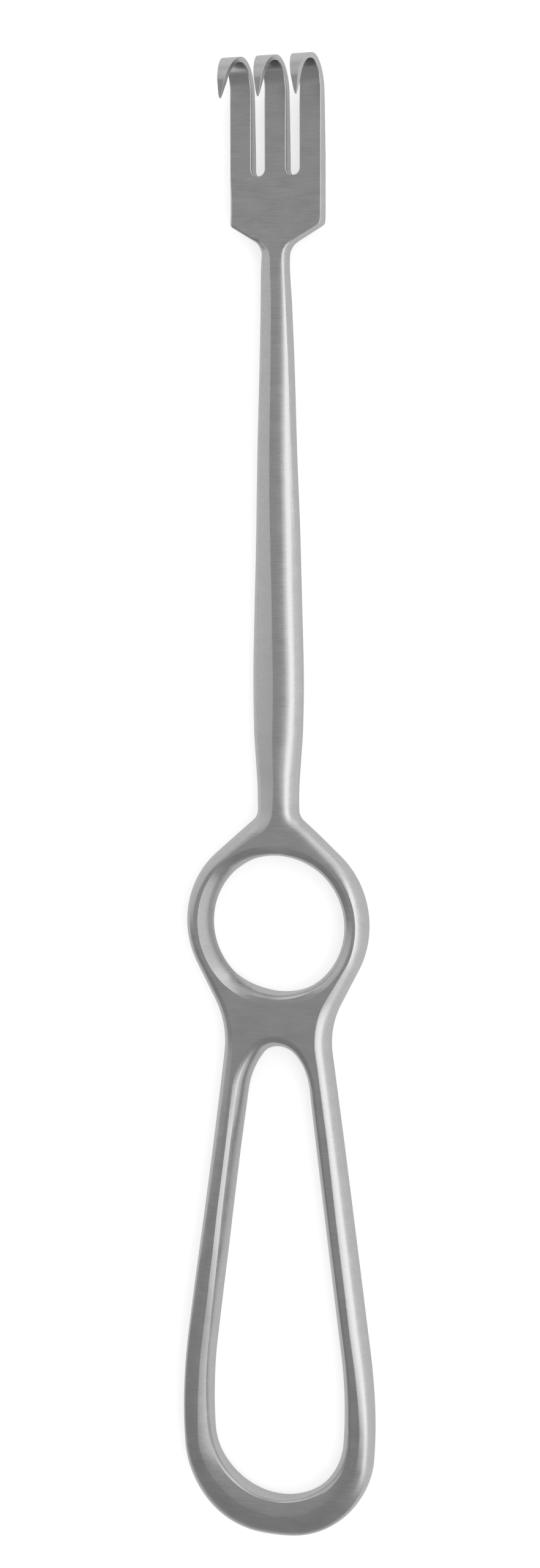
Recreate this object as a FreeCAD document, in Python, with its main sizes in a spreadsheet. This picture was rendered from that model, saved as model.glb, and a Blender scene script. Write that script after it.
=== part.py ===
import FreeCAD, Part
import math
import os
import Sketcher

# A three-pronged hand retractor, forged and ground from one steel bar.
# It lies on its back: +Z is the side that the hooks curl to, +Y runs from the loop handle to the
# fork, and the origin is under the middle of its length, on the plane of the handle's back.
# Sizes named from_end are measured along Y from the handle's end, those named from_ring go on
# from the middle of the finger ring, and those named from_apex are measured back from the far
# edge of the hooks. All are millimetres and degrees.

Vector = FreeCAD.Vector
Z_UP = Vector(0, 0, 1)
PRONGS = 3

SIZES = [
    ("overall_length", 220.0),
    ("handle_thickness", 4.6),
    ("edge_round", 1.7),
    ("bevel_width", 1.8),
    # outer outline of the loop handle, from its end to its waist
    ("end_radius", 30.0),
    ("corner_radius", 13.6),
    ("corner_offset", 1.3),
    ("belly_radius", 100.0),
    ("belly_rise", 4.0),
    ("leg_angle", 7.5),
    ("waist_radius", 13.0),
    ("flank_angle", 27.4),
    # finger ring and the tongue that carries it into the shank
    ("ring_from_end", 94.0),
    ("ring_outer_radius", 14.05),
    ("ring_bore_radius", 10.4),
    ("shoulder_angle", 42.0),
    ("tongue_half_width", 2.4),
    ("tongue_fillet", 1.6),
    ("tongue_straight", 1.2),
    # opening of the loop handle
    ("end_wall", 5.8),
    ("hole_end_radius", 10.35),
    ("hole_belly_radius", 70.0),
    ("hole_belly_rise", 4.1),
    ("hole_top_from_end", 75.6),
    ("hole_cap_radius", 3.45),
    ("hole_blend_radius", 11.6),
    ("hole_blend_drop", 4.75),
    # oval shank: where its sections stand, and how wide and thick each is
    ("root_from_ring", 13.0),
    ("root_width", 5.4),
    ("root_thickness", 3.8),
    ("throat_from_ring", 19.0),
    ("throat_width", 6.3),
    ("throat_thickness", 4.4),
    ("swell_from_ring", 33.5),
    ("swell_width", 7.6),
    ("swell_thickness", 4.4),
    ("middle_from_ring", 66.0),
    ("middle_width", 5.8),
    ("middle_thickness", 4.1),
    ("neck_from_apex", 30.0),
    ("neck_width", 4.35),
    ("neck_thickness", 3.5),
    ("seat_from_apex", 23.0),
    ("seat_width", 4.0),
    ("seat_thickness", 1.8),
    # fork plate
    ("prong_width", 3.3),
    ("slot_width", 2.0),
    ("fork_thickness", 2.3),
    ("slot_from_apex", 16.7),
    ("corner_from_apex", 23.2),
    ("fork_corner_angle", 30.0),
    ("fork_corner_round", 0.8),
    ("fork_neck_half_width", 1.9),
    ("fork_neck_fillet", 2.4),
    ("fork_start_from_apex", 31.0),
    # hooks
    ("hook_outer_radius", 4.67),
    ("hook_inner_radius", 3.55),
    ("hook_centre_lift", 4.3),
    ("thinning_from_apex", 11.0),
    ("bend_from_apex", 5.5),
    ("hook_width", 2.8),
    ("tip_from_apex", 6.7),
    ("tip_lift", 9.2),
    ("tip_thickness", 0.46),
    ("tip_width", 0.45),
    ("tip_spread", 5.65),
    # how far a cut runs past what it cuts
    ("cut_margin", 1.0),
]

PRONG_PITCH = "sizes.prong_width + sizes.slot_width"
FORK_WIDTH = f"{PRONGS} * sizes.prong_width + {PRONGS - 1} * sizes.slot_width"

RING_Y = "sizes.ring_from_end - sizes.overall_length / 2"
SECTIONS = [
    ("root", f"{RING_Y} + sizes.root_from_ring"),
    ("throat", f"{RING_Y} + sizes.throat_from_ring"),
    ("swell", f"{RING_Y} + sizes.swell_from_ring"),
    ("middle", f"{RING_Y} + sizes.middle_from_ring"),
    ("neck", "sizes.overall_length / 2 - sizes.neck_from_apex"),
    ("seat", "sizes.overall_length / 2 - sizes.seat_from_apex"),
]

# the origin, as a sketch names it: the start of its own X axis
ORIGIN = (-1, 1)


def make_sheet(doc):
    sheet = doc.addObject("Spreadsheet::Sheet", "sizes")
    for row, (name, value) in enumerate(SIZES, start=1):
        sheet.set(f"A{row}", name)
        sheet.set(f"B{row}", str(value))
        sheet.setAlias(f"B{row}", name)
    doc.recompute()
    return {name: float(sheet.get(name)) for name, _ in SIZES}


def prong_pitch(size):
    return size["prong_width"] + size["slot_width"]


def fork_width(size):
    return PRONGS * size["prong_width"] + (PRONGS - 1) * size["slot_width"]


def origin_plane(body, role):
    return next(f for f in body.Origin.OriginFeatures if f.Role == role)


def on_circle(centre, radius, degrees):
    angle = math.radians(degrees)
    return centre + Vector(radius * math.cos(angle), radius * math.sin(angle), 0)


def heading(degrees):
    return on_circle(Vector(), 1, degrees)


def where_lines_meet(point_a, toward_a, point_b, toward_b):
    gap = point_b - point_a
    along = gap.cross(toward_b).z / toward_a.cross(toward_b).z
    return point_a + toward_a * along


def touching_centre(centre, reach, across=None, rise=None):
    """Centre of an arc that touches the one round `centre`, whose radius differs by `reach`."""
    if across is None:
        across = -math.sqrt(reach ** 2 - rise ** 2)
    else:
        rise = -math.sqrt(reach ** 2 - across ** 2)
    return centre + Vector(across, rise, 0)


def beyond(start, through, radius):
    return start + (through - start).normalize() * radius


def tangent_from(point, centre, radius, side):
    """Point where a line from `point` touches a circle; side +1 passes it on the left."""
    gap = centre - point
    spread = math.degrees(math.asin(radius / gap.Length))
    aim = math.degrees(math.atan2(gap.y, gap.x)) + side * spread
    return point + heading(aim) * math.sqrt(gap.Length ** 2 - radius ** 2)


class Outline:
    """Lines and arcs drawn end to end in one sketch, with their joints and named dimensions."""

    def __init__(self, body, name, role, offsets):
        self.sketch = body.newObject("Sketcher::SketchObject", name)
        self.sketch.AttachmentSupport = [(origin_plane(body, role), "")]
        self.sketch.MapMode = "FlatFace"
        for axis, expression in offsets.items():
            self.sketch.setExpression(f"AttachmentOffset.Base.{axis}", expression)
        self.pieces = []

    def line(self, start, end):
        index = self.sketch.addGeometry(Part.LineSegment(start, end))
        self.pieces.append((index, 1, 2))
        return index

    def arc(self, centre, start, end, clockwise=False):
        first, last = (end, start) if clockwise else (start, end)
        radius = (start - centre).Length
        angles = [math.atan2(p.y - centre.y, p.x - centre.x) for p in (first, last)]
        if angles[1] <= angles[0]:
            angles[1] += 2 * math.pi
        circle = Part.Circle(centre, Z_UP, radius)
        index = self.sketch.addGeometry(Part.ArcOfCircle(circle, *angles))
        self.pieces.append((index, 2, 1) if clockwise else (index, 1, 2))
        return index

    def join(self, tangent):
        """Closes the loop; `tangent` holds the pieces that run smoothly into the next one."""
        for number, (index, _, end) in enumerate(self.pieces):
            following, start, _ = self.pieces[(number + 1) % len(self.pieces)]
            kind = "Tangent" if number in tangent else "Coincident"
            self.constrain(kind, index, end, following, start)
        self.pieces = []

    def constrain(self, kind, *places):
        return self.sketch.addConstraint(Sketcher.Constraint(kind, *places))

    def keep_on_axis(self, axis, index, place):
        """Puts a point on the sketch's own X or Y axis, which it numbers -1 and -2."""
        self.constrain("PointOnObject", index, place, {"x": -1, "y": -2}[axis])

    def dimension(self, name, kind, places, value, expression):
        number = self.constrain(kind, *places, value)
        self.sketch.renameConstraint(number, name)
        self.sketch.setExpression(f"Constraints.{name}", expression)

    def radius(self, index, value, alias):
        self.dimension(alias, "Radius", (index,), value, f"sizes.{alias}")


def draw_handle(body, size):
    """Right half of the handle's outline, closed along the centre line."""
    out = Outline(body, "handle_outline", "XY_Plane", {"y": "-sizes.overall_length / 2"})
    end_centre = Vector(0, size["end_radius"], 0)
    corner = touching_centre(end_centre, size["end_radius"] - size["corner_radius"],
                             across=size["corner_offset"])
    belly = touching_centre(corner, size["belly_radius"] - size["corner_radius"],
                            rise=size["belly_rise"])
    end_to_corner = beyond(end_centre, corner, size["end_radius"])
    corner_to_belly = beyond(belly, corner, size["belly_radius"])
    leg_start = on_circle(belly, size["belly_radius"], size["leg_angle"])
    leg_way = heading(90 + size["leg_angle"])

    ring_centre = Vector(0, size["ring_from_end"], 0)
    flank_end = on_circle(ring_centre, size["ring_outer_radius"], -size["flank_angle"])
    flank_way = heading(90 - size["flank_angle"])
    slope_start = on_circle(ring_centre, size["ring_outer_radius"], 90 - size["shoulder_angle"])
    slope_way = heading(180 - size["shoulder_angle"])

    waist_turn = math.radians(size["leg_angle"] + size["flank_angle"]) / 2
    waist = where_lines_meet(leg_start, leg_way, flank_end, flank_way)
    waist_run = size["waist_radius"] * math.tan(waist_turn)
    leg_end = waist - leg_way * waist_run
    waist_centre = leg_end + Vector(leg_way.y, -leg_way.x, 0) * size["waist_radius"]

    tongue_side = Vector(size["tongue_half_width"], 0, 0)
    tongue_turn = math.radians(90 - size["shoulder_angle"]) / 2
    throat = where_lines_meet(slope_start, slope_way, tongue_side, heading(90))
    throat_run = size["tongue_fillet"] * math.tan(tongue_turn)
    side_start = throat + heading(90) * throat_run
    throat_centre = side_start + Vector(size["tongue_fillet"], 0, 0)
    side_end = side_start + heading(90) * size["tongue_straight"]
    tip_centre = side_end - tongue_side
    tongue_tip = tip_centre + heading(90) * size["tongue_half_width"]

    end_arc = out.arc(end_centre, Vector(), end_to_corner)
    corner_arc = out.arc(corner, end_to_corner, corner_to_belly)
    belly_arc = out.arc(belly, corner_to_belly, leg_start)
    leg = out.line(leg_start, leg_end)
    waist_arc = out.arc(waist_centre, leg_end, waist + flank_way * waist_run, clockwise=True)
    flank = out.line(waist + flank_way * waist_run, flank_end)
    ring_arc = out.arc(ring_centre, flank_end, slope_start)
    slope = out.line(slope_start, throat - slope_way * throat_run)
    throat_arc = out.arc(throat_centre, throat - slope_way * throat_run, side_start, clockwise=True)
    side = out.line(side_start, side_end)
    tip_arc = out.arc(tip_centre, side_end, tongue_tip)
    axis = out.line(tongue_tip, Vector())
    out.join(tangent=range(tip_arc))

    for index, place in ((axis, 1), (end_arc, 3), (ring_arc, 3), (tip_arc, 3)):
        out.keep_on_axis("y", index, place)
    out.constrain("Coincident", end_arc, 1, *ORIGIN)
    out.constrain("Vertical", side)
    out.radius(end_arc, size["end_radius"], "end_radius")
    out.radius(corner_arc, size["corner_radius"], "corner_radius")
    out.radius(belly_arc, size["belly_radius"], "belly_radius")
    out.radius(waist_arc, size["waist_radius"], "waist_radius")
    out.radius(ring_arc, size["ring_outer_radius"], "ring_outer_radius")
    out.radius(throat_arc, size["tongue_fillet"], "tongue_fillet")
    out.radius(tip_arc, size["tongue_half_width"], "tongue_half_width")
    out.dimension("corner_offset", "DistanceX", (*ORIGIN, corner_arc, 3), size["corner_offset"],
                  "sizes.corner_offset")
    out.dimension("belly_rise", "DistanceY", (corner_arc, 3, belly_arc, 3), size["belly_rise"],
                  "sizes.belly_rise")
    out.dimension("ring_from_end", "DistanceY", (*ORIGIN, ring_arc, 3), size["ring_from_end"],
                  "sizes.ring_from_end")
    out.dimension("tongue_straight", "DistanceY", (side, 1, side, 2), size["tongue_straight"],
                  "sizes.tongue_straight")
    out.dimension("leg_heading", "Angle", (leg,), math.radians(90 + size["leg_angle"]),
                  "90 + sizes.leg_angle")
    out.dimension("flank_heading", "Angle", (flank,), math.radians(90 - size["flank_angle"]),
                  "90 - sizes.flank_angle")
    out.dimension("slope_heading", "Angle", (slope,), math.radians(180 - size["shoulder_angle"]),
                  "180 - sizes.shoulder_angle")
    return out.sketch


def draw_loop_hole(body, size):
    """Right half of the loop's opening, closed along the centre line."""
    out = Outline(body, "loop_hole_outline", "XY_Plane", {"y": "-sizes.overall_length / 2"})
    bottom = Vector(0, size["end_wall"], 0)
    end_centre = bottom + Vector(0, size["hole_end_radius"], 0)
    belly = touching_centre(end_centre, size["hole_belly_radius"] - size["hole_end_radius"],
                            rise=size["hole_belly_rise"])
    top = Vector(0, size["hole_top_from_end"], 0)
    cap_centre = top - Vector(0, size["hole_cap_radius"], 0)
    blend = touching_centre(cap_centre, size["hole_blend_radius"] - size["hole_cap_radius"],
                            rise=-size["hole_blend_drop"])
    end_to_belly = beyond(belly, end_centre, size["hole_belly_radius"])
    blend_to_cap = beyond(blend, cap_centre, size["hole_blend_radius"])

    gap = blend - belly
    lean = math.asin((size["hole_blend_radius"] - size["hole_belly_radius"]) / gap.Length)
    normal = math.degrees(math.atan2(gap.y, gap.x) - lean) - 90
    leg_start = on_circle(belly, size["hole_belly_radius"], normal)
    leg_end = on_circle(blend, size["hole_blend_radius"], normal)

    end_arc = out.arc(end_centre, bottom, end_to_belly)
    belly_arc = out.arc(belly, end_to_belly, leg_start)
    out.line(leg_start, leg_end)
    blend_arc = out.arc(blend, leg_end, blend_to_cap)
    cap_arc = out.arc(cap_centre, blend_to_cap, top)
    axis = out.line(top, bottom)
    out.join(tangent=range(cap_arc))

    for index, place in ((axis, 1), (axis, 2), (end_arc, 3), (cap_arc, 3)):
        out.keep_on_axis("y", index, place)
    out.radius(end_arc, size["hole_end_radius"], "hole_end_radius")
    out.radius(belly_arc, size["hole_belly_radius"], "hole_belly_radius")
    out.radius(blend_arc, size["hole_blend_radius"], "hole_blend_radius")
    out.radius(cap_arc, size["hole_cap_radius"], "hole_cap_radius")
    out.dimension("end_wall", "DistanceY", (*ORIGIN, end_arc, 1), size["end_wall"],
                  "sizes.end_wall")
    out.dimension("hole_top_from_end", "DistanceY", (*ORIGIN, cap_arc, 2),
                  size["hole_top_from_end"], "sizes.hole_top_from_end")
    out.dimension("hole_belly_rise", "DistanceY", (end_arc, 3, belly_arc, 3),
                  size["hole_belly_rise"], "sizes.hole_belly_rise")
    out.dimension("hole_blend_drop", "DistanceY", (blend_arc, 3, cap_arc, 3),
                  size["hole_blend_drop"], "sizes.hole_blend_drop")
    return out.sketch


def draw_ring_bore(body, size):
    out = Outline(body, "ring_bore_outline", "XY_Plane", {"y": "-sizes.overall_length / 2"})
    centre = Vector(0, size["ring_from_end"], 0)
    circle = out.sketch.addGeometry(Part.Circle(centre, Z_UP, size["ring_bore_radius"]))
    out.keep_on_axis("y", circle, 3)
    out.radius(circle, size["ring_bore_radius"], "ring_bore_radius")
    out.dimension("ring_from_end", "DistanceY", (*ORIGIN, circle, 3), size["ring_from_end"],
                  "sizes.ring_from_end")
    return out.sketch


def add_pad(body, sketch, name, length, symmetric=False):
    pad = body.newObject("PartDesign::Pad", name)
    pad.Profile = sketch
    pad.SideType = "Symmetric" if symmetric else "One side"
    pad.setExpression("Length", length)
    return pad


def add_through_cut(body, sketch, name):
    """Cuts on both sides of the sketch, through all there is."""
    cut = body.newObject("PartDesign::Pocket", name)
    cut.Profile = sketch
    cut.SideType = "Symmetric"
    cut.Type = "ThroughAll"
    return cut


def mirror(body, name, features):
    mirrored = body.newObject("PartDesign::Mirrored", name)
    mirrored.Originals = features
    mirrored.MirrorPlane = (origin_plane(body, "YZ_Plane"), [""])
    body.Tip = mirrored
    return mirrored


def rim_edges(shape, wanted):
    """Names of the edges round the flat faces: the "outer" outline, or the "inner" holes."""
    names = []
    for face in shape.Faces:
        normal = face.normalAt(0, 0)
        if abs(normal.z) < 0.999:
            continue
        for wire in face.Wires:
            is_outer = wire.isSame(face.OuterWire)
            if is_outer == (wanted == "outer"):
                names += [f"Edge{1 + number}" for number, edge in enumerate(shape.Edges)
                          if any(edge.isSame(mine) for mine in wire.Edges)]
    return names


def make_handle(doc, size):
    body = doc.addObject("PartDesign::Body", "handle")
    plate = add_pad(body, draw_handle(body, size), "plate", "sizes.handle_thickness")
    doc.recompute()
    loop_hole = add_through_cut(body, draw_loop_hole(body, size), "loop_hole")
    doc.recompute()
    mirror(body, "both_halves", [plate, loop_hole])
    doc.recompute()
    bore = add_through_cut(body, draw_ring_bore(body, size), "ring_bore")
    doc.recompute()

    bevel = body.newObject("PartDesign::Chamfer", "hole_bevels")
    bevel.Base = (bore, rim_edges(bore.Shape, "inner"))
    bevel.setExpression("Size", "sizes.bevel_width")
    doc.recompute()
    rounding = body.newObject("PartDesign::Fillet", "outer_edges")
    rounding.Base = (bevel, rim_edges(bevel.Shape, "outer"))
    rounding.setExpression("Radius", "sizes.edge_round")
    doc.recompute()
    return body


def make_shank(doc, size):
    ovals = []
    for name, station in SECTIONS:
        oval = doc.addObject("Part::Ellipse", f"{name}_section")
        oval.Placement.Rotation = FreeCAD.Rotation(Vector(1, 0, 0), 90)
        oval.MajorRadius = size[f"{name}_width"] / 2
        oval.setExpression("MajorRadius", f"sizes.{name}_width / 2")
        oval.setExpression("MinorRadius", f"sizes.{name}_thickness / 2")
        oval.setExpression("Placement.Base.y", station)
        oval.setExpression("Placement.Base.z", "sizes.handle_thickness / 2")
        ovals.append(oval)
    shank = doc.addObject("Part::Loft", "shank")
    shank.Sections = ovals
    shank.Solid = True
    doc.recompute()
    return shank


def draw_hook_profile(body, size):
    """Side view of the fork: sketch x runs along the plate, y is the lift off its middle."""
    out = Outline(body, "hook_profile", "YZ_Plane",
                  {"x": "sizes.overall_length / 2", "y": "sizes.handle_thickness / 2"})
    half = size["fork_thickness"] / 2
    start, thinning, tip = (-size[f"{name}_from_apex"] for name in ("fork_start", "thinning", "tip"))
    centre = Vector(-size["hook_outer_radius"], size["hook_centre_lift"], 0)
    tip_top = Vector(tip, size["tip_lift"], 0)
    tip_bottom = tip_top - Vector(0, size["tip_thickness"], 0)
    back_start, back_end = Vector(start, -half, 0), Vector(thinning, -half, 0)
    front_start, front_end = Vector(start, half, 0), Vector(thinning, half, 0)
    outer_start = tangent_from(back_end, centre, size["hook_outer_radius"], -1)
    outer_end = tangent_from(tip_top, centre, size["hook_outer_radius"], 1)
    inner_start = tangent_from(tip_bottom, centre, size["hook_inner_radius"], 1)
    inner_end = tangent_from(front_end, centre, size["hook_inner_radius"], -1)

    back = out.line(back_start, back_end)
    thinning_line = out.line(back_end, outer_start)
    outer_arc = out.arc(centre, outer_start, outer_end)
    tip_outer = out.line(outer_end, tip_top)
    tip_end = out.line(tip_top, tip_bottom)
    tip_inner = out.line(tip_bottom, inner_start)
    inner_arc = out.arc(centre, inner_start, inner_end, clockwise=True)
    out.line(inner_end, front_end)
    front = out.line(front_end, front_start)
    closing = out.line(front_start, back_start)
    out.join(tangent=(thinning_line, outer_arc, tip_inner, inner_arc))

    out.constrain("Horizontal", back)
    out.constrain("Horizontal", front)
    out.constrain("Vertical", closing)
    out.constrain("Vertical", tip_end)
    out.constrain("Coincident", outer_arc, 3, inner_arc, 3)
    out.radius(outer_arc, size["hook_outer_radius"], "hook_outer_radius")
    out.radius(inner_arc, size["hook_inner_radius"], "hook_inner_radius")
    out.dimension("centre_from_apex", "DistanceX", (outer_arc, 3, *ORIGIN),
                  size["hook_outer_radius"], "sizes.hook_outer_radius")
    out.dimension("hook_centre_lift", "DistanceY", (*ORIGIN, outer_arc, 3),
                  size["hook_centre_lift"], "sizes.hook_centre_lift")
    out.dimension("fork_start", "DistanceX", (back, 1, *ORIGIN), -start,
                  "sizes.fork_start_from_apex")
    out.dimension("back_depth", "DistanceY", (back, 1, *ORIGIN), half, "sizes.fork_thickness / 2")
    out.dimension("front_depth", "DistanceY", (*ORIGIN, front, 1), half,
                  "sizes.fork_thickness / 2")
    out.dimension("back_thinning", "DistanceX", (back, 2, *ORIGIN), -thinning,
                  "sizes.thinning_from_apex")
    out.dimension("front_thinning", "DistanceX", (front, 1, *ORIGIN), -thinning,
                  "sizes.thinning_from_apex")
    out.dimension("tip_from_apex", "DistanceX", (tip_end, 1, *ORIGIN), -tip, "sizes.tip_from_apex")
    out.dimension("tip_lift", "DistanceY", (*ORIGIN, tip_end, 1), size["tip_lift"],
                  "sizes.tip_lift")
    out.dimension("tip_thickness", "DistanceY", (tip_end, 2, tip_end, 1), size["tip_thickness"],
                  "sizes.tip_thickness")
    return out.sketch


def draw_shoulder_cut(body, size):
    """What is ground away on the right of the fork's neck and under its corner."""
    out = Outline(body, "shoulder_cut_outline", "XY_Plane", {"y": "sizes.overall_length / 2"})
    half_width = fork_width(size) / 2
    margin = size["cut_margin"]
    neck_x = size["fork_neck_half_width"]
    low_y = -size["fork_start_from_apex"] - margin
    angle = size["fork_corner_angle"]
    corner_centre = Vector(half_width - size["fork_corner_round"], -size["corner_from_apex"], 0)
    corner_end = Vector(half_width, -size["corner_from_apex"], 0)
    corner_start = on_circle(corner_centre, size["fork_corner_round"], angle - 90)
    neck_corner = where_lines_meet(corner_start, heading(angle), Vector(neck_x, 0, 0), heading(90))
    run = size["fork_neck_fillet"] * math.tan(math.radians(90 - angle) / 2)
    fillet_start = neck_corner - heading(90) * run
    fillet_end = neck_corner + heading(angle) * run
    fillet_centre = fillet_start + Vector(size["fork_neck_fillet"], 0, 0)
    low_left = Vector(neck_x, low_y, 0)
    low_right = Vector(half_width + margin, low_y, 0)
    high_right = Vector(half_width + margin, -size["corner_from_apex"], 0)

    neck = out.line(low_left, fillet_start)
    fillet = out.arc(fillet_centre, fillet_start, fillet_end, clockwise=True)
    slope = out.line(fillet_end, corner_start)
    corner = out.arc(corner_centre, corner_start, corner_end)
    ledge = out.line(corner_end, high_right)
    outside = out.line(high_right, low_right)
    base = out.line(low_right, low_left)
    out.join(tangent=range(corner))

    for index in (neck, outside):
        out.constrain("Vertical", index)
    for index in (ledge, base):
        out.constrain("Horizontal", index)
    out.constrain("Horizontal", corner, 3, corner, 2)
    out.radius(fillet, size["fork_neck_fillet"], "fork_neck_fillet")
    out.radius(corner, size["fork_corner_round"], "fork_corner_round")
    out.dimension("slope_heading", "Angle", (slope,), math.radians(angle),
                  "0 + sizes.fork_corner_angle")
    out.dimension("fork_neck_half_width", "DistanceX", (*ORIGIN, neck, 1), neck_x,
                  "sizes.fork_neck_half_width")
    out.dimension("low_edge", "DistanceY", (base, 1, *ORIGIN), -low_y,
                  "sizes.fork_start_from_apex + sizes.cut_margin")
    out.dimension("corner_from_apex", "DistanceY", (corner, 2, *ORIGIN), size["corner_from_apex"],
                  "sizes.corner_from_apex")
    out.dimension("half_width", "DistanceX", (*ORIGIN, corner, 2), half_width,
                  f"({FORK_WIDTH}) / 2")
    out.dimension("outside", "DistanceX", (ledge, 1, ledge, 2), margin, "sizes.cut_margin")
    return out.sketch


def draw_slots(body, size):
    """Round-ended slots between the prongs, open past the hooks."""
    out = Outline(body, "slot_outlines", "XY_Plane", {"y": "sizes.overall_length / 2"})
    radius = size["slot_width"] / 2
    centre_y = radius - size["slot_from_apex"]
    top_y = size["cut_margin"]
    for number in range(PRONGS - 1):
        steps = number - (PRONGS - 2) / 2
        x = steps * prong_pitch(size)
        left_end, right_end = Vector(x - radius, centre_y, 0), Vector(x + radius, centre_y, 0)
        left_top, right_top = Vector(x - radius, top_y, 0), Vector(x + radius, top_y, 0)
        left = out.line(left_top, left_end)
        bottom = out.arc(Vector(x, centre_y, 0), left_end, right_end)
        right = out.line(right_end, right_top)
        top = out.line(right_top, left_top)
        out.join(tangent=(0, 1))
        out.constrain("Vertical", left)
        out.constrain("Vertical", right)
        out.constrain("Horizontal", top)
        out.dimension(f"slot_radius_{number}", "Radius", (bottom,), radius, "sizes.slot_width / 2")
        out.dimension(f"slot_place_{number}", "DistanceX", (*ORIGIN, bottom, 3), x,
                      f"{steps} * ({PRONG_PITCH})")
        out.dimension(f"slot_depth_{number}", "DistanceY", (bottom, 3, *ORIGIN), -centre_y,
                      "sizes.slot_from_apex - sizes.slot_width / 2")
        out.dimension(f"slot_top_{number}", "DistanceY", (*ORIGIN, top, 1), top_y,
                      "sizes.cut_margin")
    return out.sketch


def prong_walls(size, pitch, pitch_cells, width):
    """x and its expression for both sides of each prong, between the two limits of the cut."""
    reach = fork_width(size) / 2 + size["cut_margin"]
    walls = [(-reach, f"-1 * (({FORK_WIDTH}) / 2 + sizes.cut_margin)")]
    for number in range(PRONGS):
        steps = number - (PRONGS - 1) / 2
        for side in (-1, 1):
            walls.append((steps * pitch + side * size[width] / 2,
                          f"{steps} * ({pitch_cells}) + {side} * sizes.{width} / 2"))
    walls.append((reach, f"({FORK_WIDTH}) / 2 + sizes.cut_margin"))
    return walls


def draw_prong_gaps(body, size, name, lift, near, far):
    """Wedges beside and between the prongs. `near` and `far` are rows across all the prongs:
    how deep the row lies behind the apex (None: at it), the pitch there and a prong's width."""
    out = Outline(body, name, "XY_Plane", {"y": "sizes.overall_length / 2", "z": lift})
    near_walls = prong_walls(size, *near[1:])
    far_walls = prong_walls(size, *far[1:])
    for left in range(0, 2 * PRONGS + 1, 2):
        right = left + 1
        corners = [(near_walls[left], near[0]), (far_walls[left], far[0]),
                   (far_walls[right], far[0]), (near_walls[right], near[0])]
        points = [Vector(x, -size[depth] if depth else 0, 0) for (x, _), depth in corners]
        lines = [out.line(a, b) for a, b in zip(points, points[1:] + points[:1])]
        out.join(tangent=())
        for line, ((x, cells), depth) in zip(lines, corners):
            out.dimension(f"x_{line}", "DistanceX", (*ORIGIN, line, 1), x, cells)
            if depth:
                out.dimension(f"y_{line}", "DistanceY", (line, 1, *ORIGIN), size[depth],
                              f"sizes.{depth}")
            else:
                out.keep_on_axis("x", line, 1)
    return out.sketch


def make_fork(doc, size):
    body = doc.addObject("PartDesign::Body", "fork")
    add_pad(body, draw_hook_profile(body, size), "hooked_plate", FORK_WIDTH, symmetric=True)
    doc.recompute()
    right_cut = add_through_cut(body, draw_shoulder_cut(body, size), "shoulder")
    doc.recompute()
    mirror(body, "both_shoulders", [right_cut])
    doc.recompute()
    add_through_cut(body, draw_slots(body, size), "slots")
    doc.recompute()
    base = ("bend_from_apex", prong_pitch(size), PRONG_PITCH, "prong_width")
    apex = (None, prong_pitch(size), PRONG_PITCH, "hook_width")
    tip = ("tip_from_apex", size["tip_spread"], "sizes.tip_spread", "tip_width")
    bend_gaps = draw_prong_gaps(body, size, "bend_gap_outlines", "0", base, apex)
    add_through_cut(body, bend_gaps, "bend_tapers")
    doc.recompute()
    hook_middle = "sizes.handle_thickness / 2 + sizes.hook_centre_lift"
    taper = body.newObject("PartDesign::Pocket", "tip_tapers")
    taper.Profile = draw_prong_gaps(body, size, "tip_gap_outlines", hook_middle, apex, tip)
    taper.Type = "ThroughAll"
    taper.Reversed = True
    doc.recompute()
    return body


def check_document(doc):
    for item in doc.Objects:
        if "Invalid" in item.State or "Error" in item.State:
            raise RuntimeError(f"{item.Name} failed: {item.State}")
    for sketch in doc.findObjects("Sketcher::SketchObject"):
        if sketch.solve() != 0 or not sketch.FullyConstrained:
            raise RuntimeError(f"{sketch.Name} isn't fully constrained")
    for body in doc.findObjects("PartDesign::Body"):
        volume = None
        for feature in (f for f in body.Group if hasattr(f, "AddSubShape") or "Mirrored" in f.TypeId):
            print(f"{body.Name}.{feature.Name}: {feature.Shape.Volume:.1f} mm3")
            if volume is not None and abs(feature.Shape.Volume - volume) < 1e-3:
                raise RuntimeError(f"{feature.Name} changes nothing")
            volume = feature.Shape.Volume


def main():
    doc = FreeCAD.newDocument("retractor")
    size = make_sheet(doc)
    pieces = [make_handle(doc, size), make_shank(doc, size), make_fork(doc, size)]
    forging = doc.addObject("Part::MultiFuse", "forging")
    forging.Label = "retractor"
    forging.Shapes = pieces
    forging.Refine = True
    doc.recompute()
    check_document(doc)

    shape = forging.Shape
    if shape.isNull() or not shape.isValid() or len(shape.Solids) != 1:
        raise RuntimeError("the retractor isn't one valid solid")
    print(f"retractor: {shape.Volume:.1f} mm3, box {shape.BoundBox}")
    os.makedirs("parts", exist_ok=True)
    shape.exportStep(f"parts/{forging.Label}.step")


main()
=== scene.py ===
import cmath
import math

import bmesh
import bpy
import numpy as np
from mathutils import Matrix, Vector, noise
from mathutils.geometry import delaunay_2d_cdt


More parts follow.
